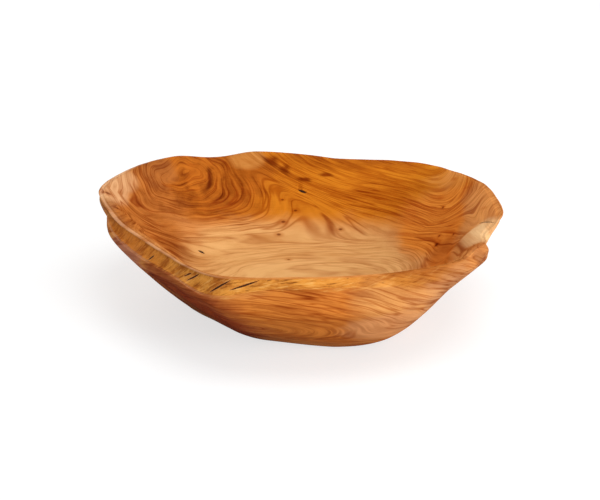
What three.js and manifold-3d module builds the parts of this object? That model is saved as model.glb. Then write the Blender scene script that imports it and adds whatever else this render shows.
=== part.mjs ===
// Carved root-wood bowl with a natural edge: one shell cut from a single root, and the
// hardened filler that stops its drying checks and small open knots.
// Millimetres, +Z up. X runs along the bowl, and -Y is the side with the broad natural edge.
// Azimuths are in degrees, counter-clockwise seen from above: 0 is +X and -90 is -Y.
import * as THREE from "three";
import { ConvexGeometry } from "three/addons/geometries/ConvexGeometry.js";
import { mergeVertices } from "three/addons/utils/BufferGeometryUtils.js";
import Module from "manifold-3d";

// Driving dimensions of the shell.
const RIM_LENGTH = 356; // the mean oval that the rim's crest wanders about
const RIM_WIDTH = 282;
const RIM_HEIGHT = 86; // mean height of the crest above the table
const FOOT_LENGTH = 196; // the flat that the bowl stands on
const FOOT_WIDTH = 176;
const FOOT_EDGE = 4; // size of the eased edge round the foot
const FLOOR_THICKNESS = 13; // wood under the deepest point of the hollow
const HEEL_REACH = 8; // how far the hollow's heel reaches past the foot's edge
const HEEL_TIGHTNESS = 2.4; // 1 is an open dish, and higher turns tighter at the heel
const STATION_STEP = 1; // the widths, drops and wanders in the lists below are in these steps

// How far each rounded corner of the cross-section reaches, as shares of its two sides.
const CREASE_SHARES = [0.45, 0.2];
const EDGE_SHARES = [0.12, 0.12];
const CREST_SHARES = [0.15, 0.25];
const INNER_SHARES = [0.7, 1];

// Driving dimensions of the filled checks.
const CHECK_DEPTH = 5; // how deep the filler reaches below the surface
const CHECK_ROOT_WIDTH = 0.4; // what is left of a check's width at its root
const CHECK_ROOT_LENGTH = 0.4; // share of a check's length that is left at its root
const FILL_CLEARANCE = 0.3; // between the filler and the wood
const BLADE_RISE = 4; // how far the cutting shape stands above the surface

// Fineness of the mesh.
const AROUND = 120;
const WALL_ROWS = 6;
const HOLLOW_ROWS = 11;
const BLADE_SIDES = 14;

// The rim is four bands, each given by stations round the bowl as [azimuth, a, b].
// The crest: how far it wanders outside the mean oval, and its lift above the mean height.
const CREST = [
  [-180, -15.5, 0], [-170, -23, 0], [-157, -28, -1], [-142, -22, -2], [-131, -12, -3], [-119, -1, -3],
  [-112, 1, -3], [-103, -1, -3], [-90, -2, -2], [-70, 0, -2], [-54, 3, -2], [-37, 5, -3], [-24, -5.5, -6],
  [-15, -8.5, -10], [-9, -12.5, -11], [-3, -6, -9], [2, 2, -5], [12, 5.5, -1], [24, 12, 1], [34, 11.5, 2],
  [44, 11, 2.5], [53, 5, 2.5], [72, -6, 2.5], [90, -4, 5.5], [106, 3, 6], [120, 8, 2.5], [131, 18, 5.5],
  [142, 20.5, 4], [154, 18.5, 1], [164, 9.5, 1.5], [172, -4, 1],
];
// The rim's top, from the crest in to the edge of the hollow: width and drop.
const TOP = [
  [-180, 25, 7], [-170, 23, 7], [-157, 18, 6], [-142, 12, 4], [-131, 9, 3], [-112, 6, 3], [-90, 5, 3],
  [-70, 5, 3], [-54, 6, 4], [-37, 10, 5], [-14, 18, 5], [-8, 22, 3], [-3, 26, 5], [2, 28, 9], [12, 25, 9],
  [24, 18, 7], [44, 10, 5], [72, 6, 4], [120, 6, 4], [142, 10, 5], [164, 20, 7],
];
// The natural edge that lay under the bark, from the crest outwards: width and drop.
const BARK_EDGE = [
  [-179, 2.5, 5.5], [-175, 4.5, 7], [-170, 6, 9], [-157, 8, 12], [-142, 9, 11], [-131, 9, 10],
  [-119, 10, 15], [-112, 10, 15], [-103, 8, 10], [-90, 7, 8], [-70, 7, 9], [-54, 8, 12], [-37, 9, 10],
  [-24, 7, 8], [-16, 3, 7], [-11, 0, 6], [-4, -1, 6], [2, -2, 6], [12, 1, 6], [24, 1, 6], [53, 4, 6],
  [131, 4, 6], [154, 2, 6], [164, 0, 6], [172, 0.5, 6], [177, 0, 5],
];
// The carved apron under the natural edge, down to the crease above the wall: width and drop.
const APRON = [
  [-180, 0, 6], [-170, 2, 5], [-131, 2, 5], [-119, 2, 4], [-112, 6, 9], [-103, 9, 17], [-90, 13, 19],
  [-70, 12, 18], [-54, 6, 14], [-37, -12, 12], [-24, -9, 12], [-14, -1, 11], [-8, -2, 10], [2, -9, 12],
  [12, -6, 12], [24, -3, 12], [53, 5, 12], [131, 5, 12], [154, -1, 12], [172, -4, 9],
];
// The wall below the crease: how far it swells past a straight line to the foot.
const WALL_SWELL = [
  [-170, 3], [-150, 1], [-130, 2.5], [-100, 3.5], [-75, 4.5], [-56, 7.5], [-44, 4], [-32, 0], [-20, 0],
  [0, 2], [90, 3.5], [160, 3.5],
];
// The foot's outline: how far it wanders outside the foot's oval.
const FOOT_WANDER = [
  [-170, -6], [-150, -13], [-135, -12], [-120, -7], [-110, -5], [-100, -4], [-90, -1], [-80, 4], [-70, 10],
  [-56, 14], [-44, 14], [-32, 13], [-20, 10], [20, 2], [45, 2], [80, -4], [110, -2], [140, 2], [165, 0],
];

// The filled checks. Each runs between two points of a band, given as [azimuth, share]: the
// share runs from the crest outwards on the natural edge, from the crest inwards on the
// rim's top, and from the edge of the hollow to the middle of its floor.
const CHECKS = [
  { name: "edge_check_fill_1", band: "edge", width: 1, from: [-145, 0.42], to: [-147, 0.94] },
  { name: "edge_check_fill_2", band: "edge", width: 0.8, from: [-125, 0.25], to: [-128, 0.69] },
  { name: "edge_check_fill_3", band: "edge", width: 1, from: [-121.5, 0.08], to: [-126.5, 0.86] },
  { name: "edge_check_fill_4", band: "edge", width: 1.1, from: [-110.5, 0.15], to: [-117, 0.87] },
  { name: "edge_check_fill_5", band: "edge", width: 0.9, from: [-101, 0.13], to: [-111, 0.68] },
  { name: "lip_check_fill", band: "top", width: 0.8, from: [-2, 0.08], to: [3, 0.92] },
  { name: "floor_knot_fill", band: "hollow", width: 2.2, from: [148, 0.44], to: [147, 0.5] },
  { name: "wall_knot_fill", band: "hollow", width: 1.8, from: [89.5, 0.1], to: [85.5, 0.11] },
];

const WOOD = new THREE.MeshStandardMaterial({ color: 0xcb8444, roughness: 0.42, metalness: 0 });
const FILLER = new THREE.MeshStandardMaterial({ color: 0x3a1f0e, roughness: 0.55, metalness: 0 });

const radians = THREE.MathUtils.degToRad;
const lerp = THREE.MathUtils.lerp;

// A smooth closed curve through stations that go once round the bowl. It reads the given
// column of the stations at any azimuth.
function aroundBowl(stations, column) {
  const count = stations.length;
  const sorted = stations.toSorted((a, b) => a[0] - b[0]);
  const azimuthAt = (i) => sorted[(i + count) % count][0] + 360 * Math.floor(i / count);
  const valueAt = (i) => sorted[(i + count) % count][column];
  const slopeAt = (i) => (valueAt(i + 1) - valueAt(i - 1)) / (azimuthAt(i + 1) - azimuthAt(i - 1));
  return (azimuth) => {
    const turned = azimuthAt(0) + THREE.MathUtils.euclideanModulo(azimuth - azimuthAt(0), 360);
    let i = 0;
    while (azimuthAt(i + 1) <= turned) i++;
    const span = azimuthAt(i + 1) - azimuthAt(i);
    const t = (turned - azimuthAt(i)) / span;
    const rise = valueAt(i + 1) - valueAt(i);
    const ease = t * t * (3 - 2 * t);
    const lead = t * (1 - t) * (1 - t) * span * slopeAt(i);
    const trail = t * t * (1 - t) * span * slopeAt(i + 1);
    return STATION_STEP * (valueAt(i) + ease * rise + lead - trail);
  };
}

const crestWander = aroundBowl(CREST, 1);
const crestLift = aroundBowl(CREST, 2);
const topWidth = aroundBowl(TOP, 1);
const topDrop = aroundBowl(TOP, 2);
const edgeWidth = aroundBowl(BARK_EDGE, 1);
const edgeDrop = aroundBowl(BARK_EDGE, 2);
const apronWidth = aroundBowl(APRON, 1);
const apronDrop = aroundBowl(APRON, 2);
const wallSwell = aroundBowl(WALL_SWELL, 1);
const footWander = aroundBowl(FOOT_WANDER, 1);

function ovalRadius(azimuth, length, width) {
  const angle = radians(azimuth);
  return 1 / Math.hypot(Math.cos(angle) / (length / 2), Math.sin(angle) / (width / 2));
}

// The corners of the cross-section at one azimuth, as (distance from the axis, height).
function corners(azimuth) {
  const crest = new THREE.Vector2(
    ovalRadius(azimuth, RIM_LENGTH, RIM_WIDTH) + crestWander(azimuth),
    RIM_HEIGHT + crestLift(azimuth),
  );
  const step = (from, width, drop) => new THREE.Vector2(from.x + width, from.y - drop);
  const inner = step(crest, -topWidth(azimuth), topDrop(azimuth));
  const edge = step(crest, edgeWidth(azimuth), edgeDrop(azimuth));
  const crease = step(edge, apronWidth(azimuth), apronDrop(azimuth));
  const foot = new THREE.Vector2(ovalRadius(azimuth, FOOT_LENGTH, FOOT_WIDTH) + footWander(azimuth), 0);
  const heel = new THREE.Vector2(foot.x + HEEL_REACH, FLOOR_THICKNESS);
  return { crest, inner, edge, crease, foot, heel };
}

// The hollow's profile is a conic: it leaves the rim's inner edge heading for the heel, and
// levels out at the middle of the floor. The share is 0 at the rim and 1 at the middle.
function hollowPoint({ inner, heel }, share) {
  const nearRim = (1 - share) ** 2;
  const nearHeel = 2 * HEEL_TIGHTNESS * share * (1 - share);
  const nearMiddle = share ** 2;
  const total = nearRim + nearHeel + nearMiddle;
  return new THREE.Vector2(
    (nearRim * inner.x + nearHeel * heel.x) / total,
    (nearRim * inner.y + (nearHeel + nearMiddle) * heel.y) / total,
  );
}

// A rounded corner: it leaves the line to "before" and joins the line to "after" at the
// given shares of those lines.
function roundedCorner(before, corner, after, [shareBefore, shareAfter], steps) {
  const start = corner.clone().lerp(before, shareBefore);
  const end = corner.clone().lerp(after, shareAfter);
  return new THREE.QuadraticBezierCurve(start, corner, end).getPoints(steps);
}

// The whole cross-section at one azimuth, from under the foot's edge, up the wall, over
// the rim and down the hollow to the last row before the middle of the floor.
function section(azimuth) {
  const bowl = corners(azimuth);
  const { crest, inner, edge, crease, foot } = bowl;
  const wall = crease.clone().sub(foot);
  const outwards = new THREE.Vector2(wall.y, -wall.x).normalize();
  const swell = wallSwell(azimuth);
  const wallPoint = (share) =>
    foot
      .clone()
      .addScaledVector(wall, share)
      .addScaledVector(outwards, swell * Math.sin(Math.PI * share));
  const wallStart = FOOT_EDGE / wall.y;
  const wallEnd = 0.9;
  const hollowStart = 0.1;
  const underFoot = new THREE.Vector2(foot.x - FOOT_EDGE, foot.y);
  const points = roundedCorner(underFoot, foot, wallPoint(wallStart), [1, 1], 2);
  for (let i = 1; i < WALL_ROWS; i++) points.push(wallPoint(lerp(wallStart, wallEnd, i / WALL_ROWS)));
  points.push(...roundedCorner(wallPoint(0.8), crease, edge, CREASE_SHARES, 3));
  points.push(...roundedCorner(crease, edge, crest, EDGE_SHARES, 2));
  points.push(...roundedCorner(edge, crest, inner, CREST_SHARES, 3));
  points.push(...roundedCorner(crest, inner, hollowPoint(bowl, hollowStart), INNER_SHARES, 4));
  for (let i = 1; i < HOLLOW_ROWS; i++) points.push(hollowPoint(bowl, lerp(hollowStart, 1, i / HOLLOW_ROWS)));
  return points;
}

function onAzimuth(azimuth, point) {
  const angle = radians(azimuth);
  return new THREE.Vector3(point.x * Math.cos(angle), point.x * Math.sin(angle), point.y);
}

// The shell as one closed skin: rings of points joined by quads, with a fan on the
// underside and one in the middle of the floor.
function shellGeometry() {
  const azimuths = Array.from({ length: AROUND }, (_, i) => (360 * i) / AROUND);
  const sections = azimuths.map(section);
  const rows = sections[0].length;
  const positions = [];
  for (let row = 0; row < rows; row++) {
    sections.forEach((points, i) => positions.push(...onAzimuth(azimuths[i], points[row])));
  }
  const underMiddle = rows * AROUND;
  const floorMiddle = underMiddle + 1;
  positions.push(0, 0, 0, 0, 0, FLOOR_THICKNESS);
  const index = [];
  for (let i = 0; i < AROUND; i++) {
    const j = (i + 1) % AROUND;
    for (let row = 0; row < rows - 1; row++) {
      const low = row * AROUND;
      const high = low + AROUND;
      index.push(low + i, low + j, high + j, low + i, high + j, high + i);
    }
    const last = (rows - 1) * AROUND;
    index.push(underMiddle, j, i, floorMiddle, last + i, last + j);
  }
  const geometry = new THREE.BufferGeometry();
  geometry.setAttribute("position", new THREE.Float32BufferAttribute(positions, 3));
  geometry.setIndex(index);
  return geometry;
}

// A point of one of the bands that checks run in.
function bandPoint(band, azimuth, share) {
  const bowl = corners(azimuth);
  if (band === "edge") return onAzimuth(azimuth, bowl.crest.clone().lerp(bowl.edge, share));
  if (band === "top") return onAzimuth(azimuth, bowl.crest.clone().lerp(bowl.inner, share));
  return onAzimuth(azimuth, hollowPoint(bowl, share));
}

// The upward normal of a band, half-way along a check.
function bandNormal({ band, from, to }) {
  const azimuth = (from[0] + to[0]) / 2;
  const share = (from[1] + to[1]) / 2;
  const here = bandPoint(band, azimuth, share);
  const round = bandPoint(band, azimuth + 0.5, share).sub(here);
  const inOrOut = bandPoint(band, azimuth, share + 0.01).sub(here);
  const normal = round.cross(inOrOut).normalize();
  return normal.z < 0 ? normal.negate() : normal;
}

// The shape of a check in the wood: a blade pointed at both ends, which stands a little
// above the surface and narrows to its root. Clearance makes it larger all round.
function checkGeometry(check, clearance) {
  const start = bandPoint(check.band, ...check.from);
  const end = bandPoint(check.band, ...check.to);
  const middle = start.clone().lerp(end, 0.5);
  const normal = bandNormal(check);
  const along = end.clone().sub(start).normalize();
  const across = normal.clone().cross(along).normalize();
  const length = start.distanceTo(end);
  const width = STATION_STEP * check.width;
  const ring = (height, ringLength, ringWidth) =>
    Array.from({ length: BLADE_SIDES }, (_, i) => {
      const turn = (2 * Math.PI * i) / BLADE_SIDES;
      const sideways = Math.sign(Math.sin(turn)) * Math.sin(turn) ** 2;
      return middle
        .clone()
        .addScaledVector(along, Math.cos(turn) * (ringLength / 2 + clearance))
        .addScaledVector(across, sideways * (ringWidth / 2 + clearance))
        .addScaledVector(normal, height);
    });
  return new ConvexGeometry([
    ...ring(BLADE_RISE, length, width),
    ...ring(0, length, width),
    ...ring(-CHECK_DEPTH - clearance, length * CHECK_ROOT_LENGTH, CHECK_ROOT_WIDTH),
  ]);
}

const wasm = await Module();
wasm.setup();

function solid(geometry) {
  geometry.deleteAttribute("normal");
  geometry.deleteAttribute("uv");
  const merged = mergeVertices(geometry);
  const mesh = new wasm.Mesh({
    numProp: 3,
    vertProperties: new Float32Array(merged.attributes.position.array),
    triVerts: new Uint32Array(merged.index.array),
  });
  return new wasm.Manifold(mesh);
}

function namedMesh(name, shape, material) {
  const { vertProperties, triVerts } = shape.getMesh();
  const geometry = new THREE.BufferGeometry();
  geometry.setAttribute("position", new THREE.BufferAttribute(vertProperties, 3));
  geometry.setIndex(new THREE.BufferAttribute(triVerts, 1));
  geometry.computeVertexNormals();
  const mesh = new THREE.Mesh(geometry, material);
  mesh.name = name;
  return mesh;
}

// Each filler ends flush with the wood, in a groove of its own.
const shell = solid(shellGeometry());
const fillers = CHECKS.map((check) => {
  const filler = solid(checkGeometry(check, 0)).intersect(shell);
  return namedMesh(check.name, filler, FILLER);
});
const grooved = CHECKS.reduce(
  (wood, check) => wood.subtract(solid(checkGeometry(check, FILL_CLEARANCE))),
  shell,
);
const body = namedMesh("bowl_body", grooved, WOOD);

// The bowl stands on z = 0, with the middle of its outline over the origin.
const bowl = new THREE.Group();
bowl.add(body, ...fillers);
const middle = new THREE.Box3().setFromObject(body).getCenter(new THREE.Vector3());
bowl.position.set(-middle.x, -middle.y, 0);

export default bowl;
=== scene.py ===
import math
import bmesh
import bpy
import numpy as np
from mathutils import Matrix, Vector, noise
from mathutils.bvhtree import BVHTree


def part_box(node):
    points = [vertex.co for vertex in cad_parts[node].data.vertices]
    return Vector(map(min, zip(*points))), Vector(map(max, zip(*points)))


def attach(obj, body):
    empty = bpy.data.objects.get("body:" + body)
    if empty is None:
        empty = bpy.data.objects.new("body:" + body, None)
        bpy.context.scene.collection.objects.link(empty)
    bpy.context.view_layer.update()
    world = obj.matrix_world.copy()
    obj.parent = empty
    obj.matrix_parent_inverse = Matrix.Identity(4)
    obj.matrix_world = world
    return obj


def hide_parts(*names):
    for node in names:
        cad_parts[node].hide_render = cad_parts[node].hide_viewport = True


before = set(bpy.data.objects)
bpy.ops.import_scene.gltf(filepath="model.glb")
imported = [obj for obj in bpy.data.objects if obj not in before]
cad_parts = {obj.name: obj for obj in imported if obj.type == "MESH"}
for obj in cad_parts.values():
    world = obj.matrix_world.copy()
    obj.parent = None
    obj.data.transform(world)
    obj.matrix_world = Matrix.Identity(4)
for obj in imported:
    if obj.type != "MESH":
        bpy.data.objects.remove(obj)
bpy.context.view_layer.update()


# The bowl body, form. One shell carved from a single root whose bark has been taken off. Its
# cross-section runs from the flat foot up the wall, over the crease, the apron, the broad natural
# edge and the rounded crest, and down a hollow that turns tightly at its heel.
MM = 0.001
RIM_LENGTH = 356  # the mean oval that the rim's crest wanders about
RIM_WIDTH = 282
RIM_HEIGHT = 86
FOOT_LENGTH = 196
FOOT_WIDTH = 176
FOOT_EDGE = 4
FLOOR_THICKNESS = 13
HEEL_REACH = 8
HEEL_TIGHTNESS = 2.4
HOLLOW_START = 0.1  # the curves of the hollow and the wall join their rounded corners at these shares
WALL_START = 0.06
WALL_END = 0.93
COLUMNS = 680
FINE_FROM = -178  # the natural edge is broad between these azimuths, and gets the finer columns
FINE_TO = -20
FINE_SHARE = 0.6

# Stations round the bowl, in degrees and millimetres. Those of the crest say how far it wanders
# outwards and upwards. Those of the top, the natural edge and the apron say how wide the band is
# there and how far it drops. The last two say how far the wall swells and the foot wanders.
CREST = [
    (-180, -15.5, 0), (-170, -23, 0), (-157, -28, -1), (-142, -22, -2), (-131, -12, -3), (-119, -1, -3),
    (-112, 1, -3), (-103, -1, -3), (-90, -2, -2), (-70, 0, -2), (-54, 3, -2), (-37, 5, -3), (-24, -5.5, -6),
    (-15, -8.5, -10), (-9, -12.5, -11), (-3, -6, -9), (2, 2, -5), (12, 5.5, -1), (24, 12, 1), (34, 11.5, 2),
    (44, 11, 2.5), (53, 5, 2.5), (72, -6, 2.5), (90, -4, 5.5), (106, 3, 6), (120, 8, 2.5), (131, 18, 5.5),
    (142, 20.5, 4), (154, 18.5, 1), (164, 9.5, 1.5), (172, -4, 1),
]
TOP = [
    (-180, 25, 7), (-170, 23, 7), (-157, 18, 6), (-142, 12, 4), (-131, 9, 3), (-112, 6, 3), (-90, 5, 3),
    (-70, 5, 3), (-54, 6, 4), (-37, 10, 5), (-14, 18, 5), (-8, 22, 3), (-3, 26, 5), (2, 28, 9),
    (12, 25, 9), (24, 18, 7), (44, 10, 5), (72, 6, 4), (120, 6, 4), (142, 10, 5), (164, 20, 7),
]
BARK_EDGE = [
    (-179, 2.5, 5.5), (-175, 4.5, 7), (-170, 6, 9), (-157, 8, 12), (-142, 9, 11), (-131, 9, 10),
    (-119, 10, 15), (-112, 10, 15), (-103, 8, 10), (-90, 7, 8), (-70, 7, 9), (-54, 8, 12),
    (-37, 9, 10), (-24, 7, 8), (-16, 3, 7), (-11, 0, 6), (-4, -1, 6), (2, -2, 6), (12, 1, 6),
    (24, 1, 6), (53, 4, 6), (131, 4, 6), (154, 2, 6), (164, 0, 6), (172, 0.5, 6), (177, 0, 5),
]
APRON = [
    (-180, 0, 6), (-170, 2, 5), (-131, 2, 5), (-119, 2, 4), (-112, 6, 9), (-103, 9, 17), (-90, 13, 19),
    (-70, 12, 18), (-54, 6, 14), (-37, -12, 12), (-24, -9, 12), (-14, -1, 11), (-8, -2, 10),
    (2, -9, 12), (12, -6, 12), (24, -3, 12), (53, 5, 12), (131, 5, 12), (154, -1, 12), (172, -4, 9),
]
WALL_SWELL = [
    (-170, 3), (-150, 1), (-130, 2.5), (-100, 3.5), (-75, 4.5), (-56, 7.5), (-44, 4), (-32, 0),
    (-20, 0), (0, 2), (90, 3.5), (160, 3.5),
]
FOOT_WANDER = [
    (-170, -6), (-150, -13), (-135, -12), (-120, -7), (-110, -5), (-100, -4), (-90, -1), (-80, 4),
    (-70, 10), (-56, 14), (-44, 14), (-32, 13), (-20, 10), (20, 2), (45, 2), (80, -4), (110, -2),
    (140, 2), (165, 0),
]


def around_bowl(stations, column, azimuths):
    """A smooth closed curve through stations that go once round the bowl, read at each azimuth."""
    table = np.array(sorted(stations), float)
    turn, value = table[:, 0], table[:, column]
    turn = np.concatenate([turn[-2:] - 360, turn, turn[:3] + 360])
    value = np.concatenate([value[-2:], value, value[:3]])
    place = turn[2] + (azimuths - turn[2]) % 360
    i = np.searchsorted(turn, place, side="right") - 1
    span = turn[i + 1] - turn[i]
    t = (place - turn[i]) / span
    slope_here = (value[i + 1] - value[i - 1]) / (turn[i + 1] - turn[i - 1])
    slope_next = (value[i + 2] - value[i]) / (turn[i + 2] - turn[i])
    ease = t * t * (3 - 2 * t)
    lead = t * (1 - t) ** 2 * span * slope_here
    trail = t * t * (1 - t) * span * slope_next
    return value[i] + ease * (value[i + 1] - value[i]) + lead - trail


def oval(azimuths, length, width):
    angle = np.radians(azimuths)
    return 1 / np.hypot(np.cos(angle) / (length / 2), np.sin(angle) / (width / 2))


def section_corners(azimuths):
    """The corners of the cross-section, each as rows of (distance from the axis, height)."""
    azimuths = np.asarray(azimuths, float)

    def wander(stations, column):
        return around_bowl(stations, column, azimuths)

    def over_band(start, stations, way):
        """The far corner of a band that drops outwards (1) or inwards (-1) from its start."""
        return start + np.stack([way * wander(stations, 1), -wander(stations, 2)], -1)

    flat = np.zeros_like(azimuths)
    crest = np.stack([
        oval(azimuths, RIM_LENGTH, RIM_WIDTH) + wander(CREST, 1),
        RIM_HEIGHT + wander(CREST, 2),
    ], -1)
    inner = over_band(crest, TOP, -1)
    edge = over_band(crest, BARK_EDGE, 1)
    crease = over_band(edge, APRON, 1)
    foot = np.stack([oval(azimuths, FOOT_LENGTH, FOOT_WIDTH) + wander(FOOT_WANDER, 1), flat], -1)
    wall = crease - foot
    outwards = np.stack([wall[:, 1], -wall[:, 0]], -1) / np.linalg.norm(wall, axis=1)[:, None]
    swell = wander(WALL_SWELL, 1)[:, None]
    return {
        "crest": crest, "inner": inner, "edge": edge, "crease": crease, "foot": foot,
        "under": foot - (FOOT_EDGE, 0),
        "belly": foot + wall / 2 + outwards * 2 * swell,  # a curve comes half way to its corner
        "heel": np.stack([foot[:, 0] + HEEL_REACH, flat + FLOOR_THICKNESS], -1),
        "floor": np.stack([flat, flat + FLOOR_THICKNESS], -1),
        "base": np.stack([flat, flat], -1),
    }


def conic(start, corner, end, pull, t):
    """The point at share t of a curve from start to end that is pulled towards the corner."""
    near, bend, far = (1 - t) ** 2, 2 * pull * t * (1 - t), t**2
    return (near * start + bend * corner + far * end) / (near + bend + far)


def in_place(azimuths, points):
    """Points of the cross-section at these azimuths, in metres about the bowl's turning axis."""
    angle = np.radians(azimuths)
    points = points * MM
    return np.stack([points[:, 0] * np.cos(angle), points[:, 0] * np.sin(angle), points[:, 1]], -1)


fine_columns = round(COLUMNS * FINE_SHARE)
fine = np.linspace(FINE_FROM, FINE_TO, fine_columns, endpoint=False)
coarse = np.linspace(FINE_TO, FINE_FROM + 360, COLUMNS - fine_columns, endpoint=False)
azimuths = np.concatenate([fine, coarse])
at = section_corners(azimuths)
hollow_rim = conic(at["inner"], at["heel"], at["floor"], HEEL_TIGHTNESS, HOLLOW_START)
wall_low = conic(at["foot"], at["belly"], at["crease"], 1, WALL_START)
wall_high = conic(at["foot"], at["belly"], at["crease"], 1, WALL_END)


def eased(before, corner, after, share_before, share_after):
    """A rounded corner: it leaves one side and joins the next at the given shares of them."""
    start = corner + (before - corner) * share_before
    end = corner + (after - corner) * share_after
    return start, corner, end


def straight(start, end):
    return start, (start + end) / 2, end


foot_corner = eased(at["under"], at["foot"], wall_low, 1, 1)
crease_corner = eased(wall_high, at["crease"], at["edge"], 1, 0.2)
edge_corner = eased(at["crease"], at["edge"], at["crest"], 0.12, 0.12)
crest_corner = eased(at["edge"], at["crest"], at["inner"], 0.15, 0.25)
inner_corner = eased(at["crest"], at["inner"], hollow_rim, 0.7, 1)

# The strips of the skin, from the middle of the underside to the middle of the hollow's floor:
# the three rings that a strip is drawn from, pull, first and last share, rows, how much it is
# natural edge, and how much it is the bowl's outside.
STRIPS = [
    (straight(at["base"], at["under"]), 1, 0, 1, 2, 0, 1),
    (foot_corner, 1, 0, 1, 3, 0, 1),
    ((at["foot"], at["belly"], at["crease"]), 1, WALL_START, WALL_END, 28, 0, 1),
    (crease_corner, 1, 0, 1, 5, 0, 1),
    (straight(crease_corner[2], edge_corner[0]), 1, 0, 1, 13, 0, 1),
    (edge_corner, 1, 0, 1, 5, 0.5, 1),
    (straight(edge_corner[2], crest_corner[0]), 1, 0, 1, 13, 1, 1),
    (crest_corner, 1, 0, 1, 6, 0.4, 0.5),
    (straight(crest_corner[2], inner_corner[0]), 1, 0, 1, 8, 0, 0),
    (inner_corner, 1, 0, 1, 5, 0, 0),
    ((at["inner"], at["heel"], at["floor"]), HEEL_TIGHTNESS, HOLLOW_START, 1, 46, 0, 0),
]


def node(tree, kind, feeds=(), **settings):
    """Adds a node with these settings. Feeds, by place or by name, are links or plain values."""
    made = tree.nodes.new(kind)
    for name, value in settings.items():
        setattr(made, name, value)
    for socket, feed in feeds.items() if isinstance(feeds, dict) else enumerate(feeds):
        if isinstance(feed, bpy.types.NodeSocket):
            tree.links.new(feed, made.inputs[socket])
        elif feed is not None:
            made.inputs[socket].default_value = feed
    return made


def maths(tree, operation, *feeds):
    return node(tree, "ShaderNodeMath", feeds, operation=operation).outputs[0]


def vectors(tree, operation, *feeds):
    made = node(tree, "ShaderNodeVectorMath", feeds, operation=operation)
    return made.outputs["Value" if operation == "LENGTH" else "Vector"]


def scaled(tree, vector, amount):
    return node(tree, "ShaderNodeVectorMath", {0: vector, "Scale": amount}, operation="SCALE").outputs[0]


def apart(tree, vector):
    return node(tree, "ShaderNodeSeparateXYZ", (vector,)).outputs


def together(tree, x, y, z):
    return node(tree, "ShaderNodeCombineXYZ", (x, y, z)).outputs[0]


def times(tree, first, *others):
    """The product of all the values."""
    product = first
    for value in others:
        product = maths(tree, "MULTIPLY", product, value)
    return product


def between(tree, value, start, end, first=0, last=1):
    """A soft step: the first value where the input is at the start, the last where it is at the end."""
    feeds = (value, start, end, first, last)
    return node(tree, "ShaderNodeMapRange", feeds, interpolation_type="SMOOTHSTEP").outputs[0]


def new_tree(name, inputs):
    """A Geometry Nodes tree with these inputs and one mesh out. Returns it with its two ends."""
    tree = bpy.data.node_groups.new(name, "GeometryNodeTree")
    for label, kind in inputs:
        tree.interface.new_socket(label, in_out="INPUT", socket_type="NodeSocket" + kind)
    tree.interface.new_socket("Mesh", in_out="OUTPUT", socket_type="NodeSocketGeometry")
    return tree, tree.nodes.new("NodeGroupInput").outputs, tree.nodes.new("NodeGroupOutput").inputs


def strip_tree():
    """A closed strip round the bowl, drawn as a conic between three rings of the cage."""
    tree, given, result = new_tree("ring_strip", [
        ("Cage", "Geometry"), ("Columns", "Int"), ("First Ring", "Int"), ("Pull", "Float"),
        ("From", "Float"), ("To", "Float"), ("Rows", "Int"), ("Natural Edge", "Float"),
        ("Outside", "Float"),
    ])
    columns_and_one = maths(tree, "ADD", given["Columns"], 1)
    rows_and_one = maths(tree, "ADD", given["Rows"], 1)
    grid = node(tree, "GeometryNodeMeshGrid", (1, 1, columns_and_one, rows_and_one))
    place = node(tree, "GeometryNodeInputPosition").outputs[0]
    x, y, _ = apart(tree, place)  # the grid is 1 by 1 about the middle, so half is added to both
    turn = times(tree, maths(tree, "ADD", x, 0.5), given["Columns"])
    column = maths(tree, "MODULO", maths(tree, "ROUND", turn), given["Columns"])
    reach = maths(tree, "SUBTRACT", given["To"], given["From"])
    t = maths(tree, "MULTIPLY_ADD", maths(tree, "ADD", y, 0.5), reach, given["From"])
    rest = maths(tree, "SUBTRACT", 1, t)
    near = times(tree, rest, rest)
    bend = times(tree, t, rest, 2, given["Pull"])
    far = times(tree, t, t)
    total = maths(tree, "ADD", maths(tree, "ADD", near, bend), far)
    position = None
    for ring, weight in enumerate((near, bend, far)):
        number = maths(tree, "ADD", given["First Ring"], ring)
        index = maths(tree, "MULTIPLY_ADD", number, given["Columns"], column)
        on_ring = node(tree, "GeometryNodeSampleIndex", {"Geometry": given["Cage"], "Index": index},
                       data_type="FLOAT_VECTOR", domain="POINT")
        tree.links.new(place, on_ring.inputs["Value"])
        part = scaled(tree, on_ring.outputs[0], maths(tree, "DIVIDE", weight, total))
        position = part if position is None else vectors(tree, "ADD", position, part)
    moved = node(tree, "GeometryNodeSetPosition", {"Geometry": grid.outputs[0], "Position": position})
    shape = moved.outputs[0]
    for name, amount in (("natural_edge", given["Natural Edge"]), ("outside", given["Outside"])):
        feeds = {"Geometry": shape, "Name": name, "Value": amount}
        stored = node(tree, "GeometryNodeStoreNamedAttribute", feeds, data_type="FLOAT", domain="POINT")
        shape = stored.outputs[0]
    tree.links.new(shape, result[0])
    return tree


STRIP_JOINT = 0.01  # strips that meet within this are joined
FOOT_FADE = (0.5, 8)  # the carving fades out between these heights, so that the foot stays flat
EDGE_SOFTENING = 2


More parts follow.
